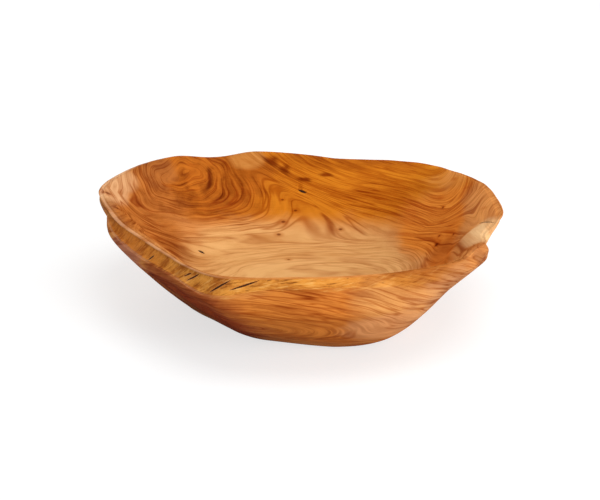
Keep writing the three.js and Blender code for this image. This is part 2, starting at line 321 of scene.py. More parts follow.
def carved_tree(strip):
    """The whole bowl: strips joined into one skin, then the tool's hollows and the bare fibres."""
    tree, given, result = new_tree("carved_bowl", [
        ("Cage", "Geometry"), ("Columns", "Int"), ("Tool Hollow Size", "Float"),
        ("Tool Hollow Depth", "Float"), ("Fibre Length", "Float"), ("Fibre Width", "Float"),
        ("Fibre Depth", "Float"), ("Facet Length", "Float"), ("Facet Width", "Float"),
        ("Facet Depth", "Float"), ("Seed", "Float"), ("Wood", "Material"),
    ])
    skin = node(tree, "GeometryNodeJoinGeometry")
    for number, (_, pull, first, last, rows, natural, outside) in enumerate(STRIPS):
        part = node(tree, "GeometryNodeGroup", node_tree=strip)
        for label, feed in (("Cage", given["Cage"]), ("Columns", given["Columns"])):
            tree.links.new(feed, part.inputs[label])
        values = {
            "First Ring": 3 * number, "Pull": pull, "From": first, "To": last, "Rows": rows,
            "Natural Edge": natural, "Outside": outside,
        }
        for label, value in values.items():
            part.inputs[label].default_value = value
        tree.links.new(part.outputs[0], skin.inputs[0])
    joint = {"Geometry": skin.outputs[0], "Distance": STRIP_JOINT * MM}
    closed = node(tree, "GeometryNodeMergeByDistance", joint)
    place = scaled(tree, node(tree, "GeometryNodeInputPosition").outputs[0], 1 / MM)
    height = apart(tree, place)[2]
    off_the_foot = between(tree, height, *FOOT_FADE)

    def relief(size, detail):
        at_grain = vectors(tree, "DIVIDE", place, size)
        feeds = {"Vector": at_grain, "W": given["Seed"], "Scale": 1, "Detail": detail}
        return node(tree, "ShaderNodeTexNoise", feeds, noise_dimensions="4D").outputs[0]

    fibre_size = together(tree, given["Fibre Length"], given["Fibre Width"], given["Fibre Length"])
    facet_size = together(tree, given["Facet Length"], given["Facet Width"], given["Facet Length"])
    tool = relief(given["Tool Hollow Size"], 1)
    fibre = relief(fibre_size, 3)
    facet = relief(facet_size, 0)
    natural = node(tree, "GeometryNodeInputNamedAttribute", ("natural_edge",), data_type="FLOAT")
    feeds = {"Value": natural.outputs[0], "Iterations": EDGE_SOFTENING}
    soft = node(tree, "GeometryNodeBlurAttribute", feeds, data_type="FLOAT")
    tool_cut = times(tree, tool, given["Tool Hollow Depth"])
    fibre_cut = times(tree, fibre, given["Fibre Depth"])
    bare_cut = maths(tree, "MULTIPLY_ADD", facet, given["Facet Depth"], fibre_cut)
    bare_cut = times(tree, bare_cut, soft.outputs[0])
    cut = times(tree, maths(tree, "ADD", tool_cut, bare_cut), off_the_foot)
    normal = node(tree, "GeometryNodeInputNormal").outputs[0]
    inwards = scaled(tree, normal, times(tree, cut, -MM))
    carved = node(tree, "GeometryNodeSetPosition", {"Geometry": closed.outputs[0], "Offset": inwards})
    smooth = node(tree, "GeometryNodeSetShadeSmooth", (carved.outputs[0],))
    real = node(tree, "GeometryNodeRealizeInstances", (smooth.outputs[0],))
    feeds = {"Geometry": real.outputs[0], "Material": given["Wood"]}
    finished = node(tree, "GeometryNodeSetMaterial", feeds)
    tree.links.new(finished.outputs[0], result[0])
    return tree


def set_inputs(modifier, values):
    """Sets a Geometry Nodes modifier's inputs, each by its socket's identifier."""
    for item in modifier.node_group.interface.items_tree:
        if item.item_type == "SOCKET" and item.in_out == "INPUT" and item.name in values:
            modifier[item.identifier] = values[item.name]


def plain_mesh(maker, name):
    """The maker's mesh with its modifiers worked in, as a new object at the origin."""
    graph = bpy.context.evaluated_depsgraph_get()
    mesh = bpy.data.meshes.new_from_object(maker.evaluated_get(graph), depsgraph=graph)
    mesh.name = name
    maker.modifiers.clear()
    bpy.data.objects.remove(maker)
    piece = bpy.data.objects.new(name, mesh)
    bpy.context.scene.collection.objects.link(piece)
    return piece


# The bowl body, finish. Swirling orange-brown root wood under a satin clear lacquer. The rings
# are a solid figure that the surface cuts: level layers of the root, and side roots that the
# layers flow round.
NOISE_MIDDLE = 0.5


def paint(red, green, blue):
    """A colour as it looks on screen, 0 to 255, as the shader wants it."""
    return [((c / 255 + 0.055) / 1.055) ** 2.4 for c in (red, green, blue)] + [1]


def blend(tree, factor, first, second, mode="MIX"):
    made = node(tree, "ShaderNodeMix", {0: factor, 6: first, 7: second}, data_type="RGBA", blend_type=mode)
    return made.outputs[2]


def figure(tree, place, size, along=(1, 1, 1), layer=None, detail=2, roughness=0.5):
    """Noise in the wood, with its grains stretched along each axis. A layer makes it follow the rings."""
    stretched = vectors(tree, "DIVIDE", place, [size * a for a in along])
    feeds = {"Vector": stretched, "Scale": 1, "Detail": detail, "Roughness": roughness}
    if layer is not None:
        feeds["W"] = layer
    dimensions = "3D" if layer is None else "4D"
    return node(tree, "ShaderNodeTexNoise", feeds, noise_dimensions=dimensions).outputs[0]


def swing(tree, noise_value, reach):
    """Noise as a swing to both sides of nothing, with this reach from end to end."""
    return times(tree, maths(tree, "SUBTRACT", noise_value, NOISE_MIDDLE), reach)


def distance_from(tree, place, middle, reach):
    """How far a place is from the middle, as a share of the reach along each axis."""
    offset = vectors(tree, "DIVIDE", vectors(tree, "SUBTRACT", place, middle), reach)
    return vectors(tree, "LENGTH", offset)


def nearest(tree, place, spots):
    """The distance from the nearest of the spots, each given as its middle and its reach."""
    least = None
    for middle, reach in spots:
        distance = distance_from(tree, place, middle, reach)
        least = distance if least is None else maths(tree, "MINIMUM", least, distance)
    return least


# The layers of the root are nearly level sheets that sway and ripple. They close in loops round
# one place of the floor, given along X and Y.
TILT = 0.3  # how much the layers rise towards -Y, for each millimetre
SWAY_SIZE = 70
SWAY_STRETCH = (1.6, 1, 1)
SWAY_HEIGHT = 16
RIPPLE_SIZE = 24
RIPPLE_STRETCH = (1.8, 1, 1)
RIPPLE_HEIGHT = 3
FLOOR_LOOPS = (34, 58)
FLOOR_LOOPS_REACH = (105, 36)
FLOOR_LOOPS_RISE = 26

# Two thick side roots left the trunk high on the far side, and the rings nest round them in long
# ovals. Each has the place of its middle along X and Z, its lean, how the ovals widen to the left
# and to the right, the age of its middle, and the sizes between which it gives way to the layers.
NESTS = [
    ((-104, 75), 18, (0.3, 0.0042), (0.47, -0.0012), 94, (34, 50)),
    ((119, 130), 0, (0.43, 0), (1.6, 0), 168, (68, 96)),
]
NEST_FRONT = 65  # in front of this place the ovals widen, and they fade away
NEST_SPREAD = 0.5
NEST_SWAY = 0.3  # the share of the layers' sway that the ovals have too
NEST_CORE = (34, 8)  # the rings are knotted up inside ovals of the larger size, most at the smaller
TANGLE_SIZE = 30
TANGLE_REACH = 22  # how far the knotted rings stray

# Thinner side roots, as place, thinness along X, Y and Z, and the age of the layer that they join.
SIDE_ROOTS = [
    ((178, 2, 84), (0.9, 0.5, 0.8), 48),
    ((-38, -126, 36), (0.3, 0.3, 1.0), -8),
]
SIDE_ROOT_JOINT = 8  # how gently their rings run into the layers


def squared_share(tree, axis, middle, reach):
    """The square of how far a place is from the middle along one axis, as a share of the reach."""
    offset = maths(tree, "DIVIDE", maths(tree, "SUBTRACT", axis, middle), reach)
    return times(tree, offset, offset)


def oval_size(tree, place, in_front, middle, lean, to_left, to_right):
    """How large an oval of a nest goes through a place."""
    turn = math.radians(lean)
    x, _, z = apart(tree, place)
    off_x = maths(tree, "SUBTRACT", x, middle[0])
    off_z = maths(tree, "SUBTRACT", z, middle[1])
    along = maths(tree, "MULTIPLY_ADD", off_z, -math.sin(turn), times(tree, off_x, math.cos(turn)))
    rise = maths(tree, "MULTIPLY_ADD", off_x, math.sin(turn), times(tree, off_z, math.cos(turn)))
    width = 0
    for side, (straight_share, curved_share) in ((-1, to_left), (1, to_right)):
        out = maths(tree, "MAXIMUM", times(tree, along, side), 0)
        share = maths(tree, "MULTIPLY_ADD", out, curved_share, straight_share)
        width = maths(tree, "MULTIPLY_ADD", out, share, width)
    size = vectors(tree, "LENGTH", together(tree, width, rise, 0))
    return maths(tree, "MULTIPLY_ADD", in_front, NEST_SPREAD, size)


def root_layers(tree, place):
    """The age of the root's layer at a place, and how much the rings are knotted up there."""
    x, y, z = apart(tree, place)
    sway = swing(tree, figure(tree, place, SWAY_SIZE, SWAY_STRETCH, detail=1), SWAY_HEIGHT)
    ripple = swing(tree, figure(tree, place, RIPPLE_SIZE, RIPPLE_STRETCH, detail=1), RIPPLE_HEIGHT)
    tilted = maths(tree, "MULTIPLY_ADD", y, TILT, z)
    swayed = maths(tree, "ADD", tilted, maths(tree, "ADD", sway, ripple))
    away_x = squared_share(tree, x, FLOOR_LOOPS[0], FLOOR_LOOPS_REACH[0])
    away_y = squared_share(tree, y, FLOOR_LOOPS[1], FLOOR_LOOPS_REACH[1])
    bell = maths(tree, "EXPONENT", times(tree, maths(tree, "ADD", away_x, away_y), -0.5))
    layer = maths(tree, "MULTIPLY_ADD", maths(tree, "SUBTRACT", 1, bell), FLOOR_LOOPS_RISE, swayed)
    for at_root, thinness, age in SIDE_ROOTS:
        offset = vectors(tree, "MULTIPLY", vectors(tree, "SUBTRACT", place, at_root), thinness)
        side = maths(tree, "ADD", vectors(tree, "LENGTH", offset), age)
        layer = maths(tree, "SMOOTH_MIN", layer, maths(tree, "ADD", side, ripple), SIDE_ROOT_JOINT)

    in_front = maths(tree, "MAXIMUM", maths(tree, "SUBTRACT", NEST_FRONT, y), 0)
    tangle_place = vectors(tree, "DIVIDE", place, [TANGLE_SIZE] * 3)
    tangle = node(tree, "ShaderNodeTexNoise", {"Vector": tangle_place, "Scale": 1, "Detail": 1})
    tangle = vectors(tree, "SUBTRACT", tangle.outputs["Color"], [NOISE_MIDDLE] * 3)
    tangle = scaled(tree, tangle, TANGLE_REACH)
    knotted = 0
    for *oval, age, (reach, end) in NESTS:
        size = oval_size(tree, place, in_front, *oval)
        inside = between(tree, size, end, reach)
        core = between(tree, size, *NEST_CORE)
        knotted = maths(tree, "MAXIMUM", knotted, core)
        tangled = vectors(tree, "ADD", place, scaled(tree, tangle, core))
        size = oval_size(tree, tangled, in_front, *oval)
        size = maths(tree, "ADD", maths(tree, "MULTIPLY_ADD", sway, NEST_SWAY, size), ripple)
        nested = maths(tree, "SUBTRACT", age, size)
        layer = node(tree, "ShaderNodeMix", {0: inside, 2: layer, 3: nested}, data_type="FLOAT").outputs[0]
    return layer, knotted


# Broad bands and fine rings follow the layers, with fibres along X and soft clouds over them. The
# shares are what each adds to the mix of light and dark wood.
BAND_SPACING = 9
BAND_SPREAD = 110
BAND_SHARE = 0.42
RING_SPACING = 2.6
RING_SPREAD = 50
RING_SHARE = 0.4
FIBRE_SIZE = 0.5
FIBRE_STRETCH = (24, 1, 1)
FIBRE_SHARE = 0.1
CLOUD_SIZE = 22
CLOUD_STRETCH = (1.6, 1, 1)
CLOUD_SHARE = 0.08
BLOTCH_SIZE = 12  # the knotted rings are blotchy too
BLOTCH_SHARE = 0.42

# Each fade is a soft step: where it starts and ends, and the values there, which are 0 and 1
# unless they are given.
MIX_FADE = (0.37, 0.61)

# Thin lines of late wood, dark or pale, follow the layers too. Each kind has its spacing, its
# width in the noise that draws it, the fade by which it comes and goes, and its run along them.
BOLD_LINES = (6.5, 0.03, (0.42, 0.6), 120)
FAINT_LINES = (2.2, 0.06, (0.32, 0.55), 60)
PALE_LINES = (3.6, 0.06, (0.38, 0.58), 90)
LINE_PATCH_SIZE = 38
LINE_PATCH_STRETCH = (1.8, 1, 1)
LINE_STRENGTH = 0.8
BOLD_STAIN = paint(196, 148, 112)
FAINT_STAIN = paint(206, 168, 134)
LIP = (158, -10, 74)
LIP_REACH = (28, 34, 18)
LIP_FADE = (0.7, 1.3, 0.15, 1)
FLOOR_FADE = (15, 36, 0.45, 1)
RIM_TOP_FADE = (78, 85)
NEAR_SIDE_FADE = (70, 30)
NEAR_TOP_LOSS = 0.75


def late_lines(tree, place, layer, crossed, spacing, width, patch_fade, spread):
    """How plainly one kind of thin line shows at a place."""
    late = figure(tree, place, spread, layer=maths(tree, "DIVIDE", layer, spacing), detail=1)
    off_line = maths(tree, "ABSOLUTE", maths(tree, "SUBTRACT", late, NOISE_MIDDLE))
    patch = figure(tree, place, LINE_PATCH_SIZE, LINE_PATCH_STRETCH, layer=spacing, detail=1)
    line = between(tree, off_line, 0, width, 1, 0)
    return times(tree, line, times(tree, between(tree, patch, *patch_fade), crossed), LINE_STRENGTH)


def crossing(tree, place):
    """How plainly lines can show. They are fainter where the surface lies along the layers: on the
    lip, on the floor and on the near part of the rim's top."""
    _, y, z = apart(tree, place)
    off_lip = between(tree, distance_from(tree, place, LIP, LIP_REACH), *LIP_FADE)
    near_top = times(tree, between(tree, z, *RIM_TOP_FADE), between(tree, y, *NEAR_SIDE_FADE))
    off_near_top = maths(tree, "SUBTRACT", 1, times(tree, near_top, NEAR_TOP_LOSS))
    return times(tree, off_lip, between(tree, z, *FLOOR_FADE), off_near_top)


# Tones of the root, some with painted light and shade as marked: the light and the dark of each,
# the place and reach where it holds, and the skin that shows it, which is the bowl's outside, its
# inside or both.
MAIN_TONE = (paint(214, 142, 76), paint(166, 90, 38))
TONES_WITH_PAINTED_LIGHT = [
    # The first three: the far wall's deep amber, its own colour deepened by painted bounce light from
    # inside the hollow.
    (paint(218, 134, 34), paint(172, 84, 12), (30, 138, 66), (210, 66, 46), "both"),
    (paint(198, 114, 26), paint(150, 70, 10), (26, 134, 92), (76, 22, 15), "both"),
    (paint(196, 110, 32), paint(134, 62, 10), (-84, 136, 70), (70, 56, 44), "both"),
    (paint(214, 146, 74), paint(176, 104, 38), (-48, 138, 87), (18, 20, 10), "both"),
    # The pale floor of the hollow: paler wood, brightened with painted light and painted reflection of the
    # backdrop.
    (paint(236, 182, 116), paint(206, 142, 78), (-4, 54, 4), (142, 88, 42), "inside"),
    (paint(196, 118, 52), paint(140, 70, 22), (-144, 26, 54), (54, 94, 46), "inside"),
    (paint(236, 148, 58), paint(188, 92, 24), (126, 62, 50), (46, 40, 32), "inside"),
    (paint(206, 118, 46), paint(166, 80, 22), (128, -4, 34), (28, 36, 24), "inside"),
    (paint(224, 150, 80), paint(186, 110, 52), (164, 36, 80), (26, 32, 15), "both"),
    # The pale lip: paler wood, brightened with painted reflection of the backdrop.
    (paint(234, 188, 134), paint(210, 154, 100), (160, -14, 74), (25, 25, 15), "both"),
    (paint(196, 138, 86), paint(150, 88, 46), (-158, 50, 90), (34, 44, 12), "both"),
    # The rim's left end: pale wood with a painted highlight along its crest.
    (paint(224, 170, 120), paint(188, 128, 80), (-172, 72, 84), (28, 42, 15), "both"),
    (paint(182, 108, 48), paint(146, 78, 32), (-136, 114, 82), (24, 18, 18), "both"),
    (paint(216, 132, 56), paint(160, 80, 26), (6, -140, 45), (96, 46, 44), "outside"),
    (paint(212, 148, 84), paint(176, 108, 54), (88, -134, 66), (52, 44, 22), "outside"),
    # Paler pinkish wood with painted sheen, low on the outside at the front right.
    (paint(216, 150, 94), paint(184, 118, 70), (76, -132, 34), (40, 44, 22), "outside"),
    (paint(180, 108, 46), paint(144, 78, 28), (108, -116, 80), (50, 34, 13), "both"),
    # Paler pinkish wood with painted sheen on the outside at the right, where it faces the side lamp.
    (paint(194, 138, 92), paint(160, 100, 60), (150, -110, 26), (70, 90, 58), "outside"),
    # The next two: the wood's red-brown on the lower left outside, darkened with painted shade where it
    # faces away from the lamps.
    (paint(164, 84, 46), paint(118, 50, 20), (-126, -116, 22), (108, 84, 62), "outside"),
    (paint(152, 64, 24), paint(112, 40, 10), (-102, -108, 20), (66, 62, 42), "outside"),
    (paint(194, 126, 94), paint(150, 84, 56), (-148, -48, 68), (30, 34, 16), "outside"),
]
TONE_FADE = (1.2, 0.7)
TONE_WANDER = 0.7


def toned(tree, place, wander):
    """The light and the dark of the wood at a place, with the painted light and shade that some tones hold.
    """
    outside = node(tree, "ShaderNodeAttribute", attribute_name="outside").outputs["Fac"]
    skins = {"both": 1, "outside": outside, "inside": maths(tree, "SUBTRACT", 1, outside)}
    light, dark = MAIN_TONE
    for tone_light, tone_dark, at_tone, reach, skin in TONES_WITH_PAINTED_LIGHT:
        distance = maths(tree, "ADD", distance_from(tree, place, at_tone, reach), wander)
        holds = times(tree, between(tree, distance, *TONE_FADE), skins[skin])
        light = blend(tree, holds, light, tone_light)
        dark = blend(tree, holds, dark, tone_dark)
    return light, dark


# Dark smudges, as place and reach. Their borders wander with the bands.
SMUDGES = [
    ((-23, 138, 86), (7, 10, 5)), ((-12, 132, 79), (5, 10, 4)), ((6, 127, 70), (7, 10, 1.5)),
    ((-84, 124, 72), (2, 10, 6)), ((-104, 122, 66), (3, 10, 2)), ((24, 126, 74), (6, 10, 1.5)),
]
SMUDGE_WANDER = 6
SMUDGE_FADE = (1.6, 0.2, 0, 0.9)
SMUDGE_STAIN = paint(158, 104, 88)

# Pin knots, as place and radius. Each is a dark dot in a faint halo, drawn out along the fibres.
PIN_KNOTS = [
    ((-3.3, 110.2, 44.7), 1.2), ((-14.5, 103.5, 36.2), 1.4), ((-15.4, 116.6, 53), 0.9),
    ((-18.6, 93.6, 27.5), 1.4), ((38.3, 95.1, 31.9), 1.2), ((-9.3, 62.1, 15.9), 1.1),
    ((140, 90.9, 83.5), 1.2), ((149.2, 74.7, 81.5), 1.1), ((146.2, 49.7, 72.2), 1.2),
    ((130.2, 71.3, 62.7), 1.1), ((160.6, 30.5, 78.8), 1.3), ((122.2, 34.1, 41.2), 2.0),
    ((135.7, 26.4, 54.8), 1.2), ((125.4, 43.1, 46.3), 1.1), ((-168.3, 52.1, 84.6), 3),
    ((-157.2, 20.3, 82.6), 2.6),
]
PIN_KNOT_STRETCH = 1.7
PIN_KNOT_WANDER = 0.5
HALO_FADE = (3.0, 0.8, 0, 0.6)
HALO_STAIN = paint(226, 190, 158)
DOT_FADE = (1.2, 0.4, 0, 0.85)
DOT_STAIN = paint(150, 112, 90)

# The natural edge is golden and mottled, with pale and dark strokes between its fibres. It shows
# along the front and thins out to the right. At the left, a pale painted highlight runs along the
# line where it meets the crest, standing for the lacquer's sheen on the rounded crest.
GOLDEN = (paint(168, 94, 30), paint(222, 148, 62))
MOTTLE_SIZE = 7
MOTTLE_STRETCH = (2.4, 1, 2.4)
MOTTLE_DRAW_FADE = (-110, 0, 1, 0.4)  # away from the left end the mottle is drawn out further
MOTTLE_FADE = (0.36, 0.62)
STROKE_SIZE = 1.2
STROKE_STRETCH = (13, 1, 13)
STROKE_BEND = 0.003  # how fast the strokes turn towards +Y with X
PALE_STROKE = paint(240, 190, 112)
PALE_STROKE_FADE = (0.52, 0.66, 0, 0.5)
DARK_STROKE = paint(108, 54, 16)
DARK_STROKE_FADE = (0.45, 0.34, 0, 0.85)
LEFT_END_STROKES_FADE = (-130, -70, 0.45, 1)
LEFT_END_STAIN_FADE = (-80, -140)
LEFT_END_STAIN = paint(252, 226, 206)
EDGE_RAGGEDNESS = 1.2
EDGE_FADE = (0.35, 0.85)
EDGE_FRONT_FADE = (5, -25)
EDGE_RIGHT_FADE = (0, 130, 1, 0.15)
EDGE_STRENGTH = 0.9
CREST_HIGHLIGHT_LINE = 0.42  # how much natural edge the skin is along the painted highlight at the crest
CREST_HIGHLIGHT_LINE_FADE = (0.02, 0.14, 1, 0)
CREST_HIGHLIGHT_LEFT_FADE = (-40, -90)
CREST_HIGHLIGHT_CLOUD_FADE = (0.35, 0.6)
CREST_HIGHLIGHT_STRENGTH = 0.3
CREST_HIGHLIGHT_TONE = paint(232, 190, 152)


def golden_edge(tree, place, natural):
    """The natural edge's colour, how much of it shows at a place, and its strokes."""
    x, y, z = apart(tree, place)
    rightwards = maths(tree, "MAXIMUM", x, 0)
    across = maths(tree, "MULTIPLY_ADD", times(tree, rightwards, rightwards), -STROKE_BEND, y)
    stroke_place = together(tree, x, across, z)
    strokes = figure(tree, stroke_place, STROKE_SIZE, STROKE_STRETCH, detail=4, roughness=0.7)
    drawn_out = times(tree, x, between(tree, x, *MOTTLE_DRAW_FADE))
    mottle_place = together(tree, drawn_out, across, z)
    mottle = figure(tree, mottle_place, MOTTLE_SIZE, MOTTLE_STRETCH, detail=5, roughness=0.7)
    golden = blend(tree, between(tree, mottle, *MOTTLE_FADE), *GOLDEN)
    off_left_end = between(tree, x, *LEFT_END_STROKES_FADE)
    pale = times(tree, between(tree, strokes, *PALE_STROKE_FADE), off_left_end)
    dark = times(tree, between(tree, strokes, *DARK_STROKE_FADE), off_left_end)
    golden = blend(tree, pale, golden, PALE_STROKE)
    golden = blend(tree, dark, golden, DARK_STROKE)
    golden = blend(tree, between(tree, x, *LEFT_END_STAIN_FADE), golden, LEFT_END_STAIN, "MULTIPLY")
    ragged = maths(tree, "ADD", natural, swing(tree, strokes, EDGE_RAGGEDNESS))
    bare = times(tree, between(tree, ragged, *EDGE_FADE), between(tree, y, *EDGE_FRONT_FADE))
    bare = times(tree, bare, between(tree, x, *EDGE_RIGHT_FADE))
    return golden, bare, strokes


# The satin lacquer is thin over the open fibres, which show in it as a fine relief.
LACQUER_FADE = (0.3, 1.6, 0.4, 0.6)
STROKE_RELIEF = 3  # against that of the fibres
RELIEF_STRENGTH = 0.35
RELIEF_HEIGHT = 0.12
WOOD_SHINE = 0.0
COAT_WEIGHT = 0.02
COAT_ROUGHNESS = 0.25


def root_wood():
    material = bpy.data.materials.new("root_wood")
    material.use_nodes = True
    tree = material.node_tree
    shader = tree.nodes["Principled BSDF"]
    place = scaled(tree, node(tree, "ShaderNodeTexCoord").outputs["Object"], 1 / MM)
    layer, knotted = root_layers(tree, place)
    by_band = maths(tree, "DIVIDE", layer, BAND_SPACING)
    by_ring = maths(tree, "DIVIDE", layer, RING_SPACING)
    bands = figure(tree, place, BAND_SPREAD, layer=by_band, detail=4, roughness=0.62)
    rings = figure(tree, place, RING_SPREAD, layer=by_ring, detail=3, roughness=0.7)
    fibres = figure(tree, place, FIBRE_SIZE, FIBRE_STRETCH)
    cloud = figure(tree, place, CLOUD_SIZE, CLOUD_STRETCH, detail=3)

    # Light and dark of the tone that holds here, mixed by the figure.
    wander = maths(tree, "ADD", swing(tree, bands, TONE_WANDER), swing(tree, cloud, TONE_WANDER))
    light, dark = toned(tree, place, wander)
    mixed = times(tree, bands, BAND_SHARE)
    for part, share in ((cloud, CLOUD_SHARE), (rings, RING_SHARE), (fibres, FIBRE_SHARE)):
        mixed = maths(tree, "MULTIPLY_ADD", part, share, mixed)
    blotches = swing(tree, figure(tree, place, BLOTCH_SIZE, detail=3), BLOTCH_SHARE)
    mixed = maths(tree, "ADD", mixed, times(tree, blotches, knotted))
    colour = blend(tree, between(tree, mixed, *MIX_FADE), dark, light)

    # Pale lines, smudges and dark lines.
    crossed = crossing(tree, place)
    colour = blend(tree, late_lines(tree, place, layer, crossed, *PALE_LINES), colour, light)
    smudge = maths(tree, "ADD", nearest(tree, place, SMUDGES), swing(tree, bands, SMUDGE_WANDER))
    smudge = between(tree, smudge, *SMUDGE_FADE)
    faint = late_lines(tree, place, layer, crossed, *FAINT_LINES)
    bold = late_lines(tree, place, layer, crossed, *BOLD_LINES)
    for amount, stain in ((smudge, SMUDGE_STAIN), (faint, FAINT_STAIN), (bold, BOLD_STAIN)):
        colour = blend(tree, amount, colour, stain, "MULTIPLY")

    # The natural edge, and the painted highlight along the crest beside it.
    natural = node(tree, "ShaderNodeAttribute", attribute_name="natural_edge").outputs["Fac"]
    golden, bare, strokes = golden_edge(tree, place, natural)
    colour = blend(tree, times(tree, bare, EDGE_STRENGTH), colour, golden)
    x = apart(tree, place)[0]
    # Painted highlight: a pale line along the crest at the left, for the lacquer's sheen on the rounded
    # crest.
    off_line = maths(tree, "ABSOLUTE", maths(tree, "SUBTRACT", natural, CREST_HIGHLIGHT_LINE))
    at_left = times(tree, between(tree, x, *CREST_HIGHLIGHT_LEFT_FADE), between(tree, cloud, *CREST_HIGHLIGHT_CLOUD_FADE))
    crest_highlight = times(tree, between(tree, off_line, *CREST_HIGHLIGHT_LINE_FADE), at_left, CREST_HIGHLIGHT_STRENGTH)
    colour = blend(tree, crest_highlight, colour, CREST_HIGHLIGHT_TONE)

    # Pin knots.
    knots = [(middle, (radius * PIN_KNOT_STRETCH, radius, radius)) for middle, radius in PIN_KNOTS]
    off_knot = maths(tree, "ADD", nearest(tree, place, knots), swing(tree, fibres, PIN_KNOT_WANDER))
    for fade, stain in ((HALO_FADE, HALO_STAIN), (DOT_FADE, DOT_STAIN)):
        colour = blend(tree, between(tree, off_knot, *fade), colour, stain, "MULTIPLY")
    tree.links.new(colour, shader.inputs["Base Color"])

    # Lacquer.
    roughness = between(tree, maths(tree, "ADD", fibres, bare), *LACQUER_FADE)
    tree.links.new(roughness, shader.inputs["Roughness"])
    relief = maths(tree, "MULTIPLY_ADD", times(tree, strokes, bare), STROKE_RELIEF, fibres)
    relief = {"Strength": RELIEF_STRENGTH, "Distance": RELIEF_HEIGHT * MM, "Height": relief}
    tree.links.new(node(tree, "ShaderNodeBump", relief).outputs[0], shader.inputs["Normal"])
    shader.inputs["Specular IOR Level"].default_value = WOOD_SHINE
    shader.inputs["Coat Weight"].default_value = COAT_WEIGHT
    shader.inputs["Coat Roughness"].default_value = COAT_ROUGHNESS
    return material


wood = root_wood()
cage = bpy.data.meshes.new("bowl_cage")
cage_points = [point for rings, *_ in STRIPS for ring in rings for point in in_place(azimuths, ring)]
cage.from_pydata(cage_points, [], [])
maker = bpy.data.objects.new("bowl_cage", cage)
bpy.context.scene.collection.objects.link(maker)
loft = maker.modifiers.new("carved_bowl", "NODES")
loft.node_group = carved_tree(strip_tree())
set_inputs(loft, {
    "Columns": COLUMNS, "Tool Hollow Size": 30.0, "Tool Hollow Depth": 0.7, "Fibre Length": 14.0,
    "Fibre Width": 1.3, "Fibre Depth": 0.7, "Facet Length": 24.0, "Facet Width": 9.0, "Facet Depth": 2.6,
    "Seed": 3.0, "Wood": wood,
})
bowl = plain_mesh(maker, "carved_bowl")
skin_low = np.array([v.co for v in bowl.data.vertices]).min(0)
skin_high = np.array([v.co for v in bowl.data.vertices]).max(0)
body_low, body_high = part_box("bowl_body")
seat = (body_low + body_high) / 2 - Vector(skin_low + skin_high) / 2
seat.z = 0
bowl.data.transform(Matrix.Translation(seat))
bowl.data.update()


# The checks. As the root dried it split along its grain in places, mostly across the natural
# edge. Each split is stopped with dark hardened filler that has shrunk a little below the wood.
CHECK_DEPTH = 5
CHECK_ROOT_WIDTH = 0.4
CHECK_ROOT_LENGTH = 0.4  # the root's length as a share of the check's
FILL_CLEARANCE = 0.3
FILL_SHRINKAGE = 0.25
CRUMBLE_SIZE = 1.2
CRUMBLE_DEPTH = 0.12
BLADE_RISE = 4
BLADE_SIDES = 28
FILLER_STEPS = 36
FILLER_LANES = 6
POINT_JOINT = 0.004  # points that lie within this are joined
SMALL_TURN = 0.5  # small moves over the skin, in degrees and as a share, that tell how it slopes
SMALL_SHARE = 0.01

# Each check's name, the band that it crosses, its width, and where it starts and ends, as azimuth
# and share of the band.
CHECKS = [
    ("edge_check_fill_1", "edge", 1.0, (-145, 0.42), (-147, 0.94)),
    ("edge_check_fill_2", "edge", 0.8, (-125, 0.25), (-128, 0.69)),
    ("edge_check_fill_3", "edge", 1.0, (-121.5, 0.08), (-126.5, 0.86)),
    ("edge_check_fill_4", "edge", 1.1, (-110.5, 0.15), (-117, 0.87)),
    ("edge_check_fill_5", "edge", 0.9, (-101, 0.13), (-111, 0.68)),
    ("lip_check_fill", "inner", 0.8, (-2, 0.08), (3, 0.92)),
    ("floor_knot_fill", "hollow", 2.2, (148, 0.44), (147, 0.5)),
    ("wall_knot_fill", "hollow", 1.8, (89.5, 0.1), (85.5, 0.11)),
]


def on_band(band, azimuth, share):
    """A point of the rim's top, of the natural edge or of the hollow, in metres."""
    corner = section_corners([azimuth])
    if band == "hollow":
        point = conic(corner["inner"], corner["heel"], corner["floor"], HEEL_TIGHTNESS, share)
    else:
        point = corner["crest"] + (corner[band] - corner["crest"]) * share
    return Vector(in_place([azimuth], point)[0]) + seat


def check_frame(band, start, end):
    """Where a check lies: its middle, the ways along, across and up from it, and its length."""
    low, high = on_band(band, *start), on_band(band, *end)
    azimuth, share = (start[0] + end[0]) / 2, (start[1] + end[1]) / 2
    here = on_band(band, azimuth, share)
    along_band = on_band(band, azimuth + SMALL_TURN, share) - here
    across_band = on_band(band, azimuth, share + SMALL_SHARE) - here
    up = along_band.cross(across_band)
    up = up.normalized() * (1 if up.z > 0 else -1)
    along = (high - low).normalized()
    return (low + high) / 2, along, up.cross(along).normalized(), up, (high - low).length


def blade(band, width, start, end, clearance):
    """The cutter of a check: a lens pointed at both ends, which narrows to its root."""
    middle, along, across, up, length = check_frame(band, start, end)
    rings = [
        (BLADE_RISE, length, width),
        (0, length, width),
        (-CHECK_DEPTH - clearance, length * CHECK_ROOT_LENGTH, CHECK_ROOT_WIDTH),
    ]
    points, faces = [], []
    for height, ring_length, ring_width in rings:
        for i in range(BLADE_SIDES):
            turn = 2 * math.pi * i / BLADE_SIDES
            sideways = math.copysign(math.sin(turn) ** 2, math.sin(turn))
            points.append(
                middle
                + along * math.cos(turn) * (ring_length / 2 + clearance * MM)
                + across * sideways * (ring_width / 2 + clearance) * MM
                + up * height * MM
            )
    for ring in range(len(rings) - 1):
        upper = ring * BLADE_SIDES
        lower = upper + BLADE_SIDES
        for i in range(BLADE_SIDES):
            j = (i + 1) % BLADE_SIDES
            faces.append((upper + i, lower + i, lower + j, upper + j))
    faces.append(tuple(range(BLADE_SIDES)))
    faces.append(tuple(reversed(range(2 * BLADE_SIDES, 3 * BLADE_SIDES))))
    return points, faces


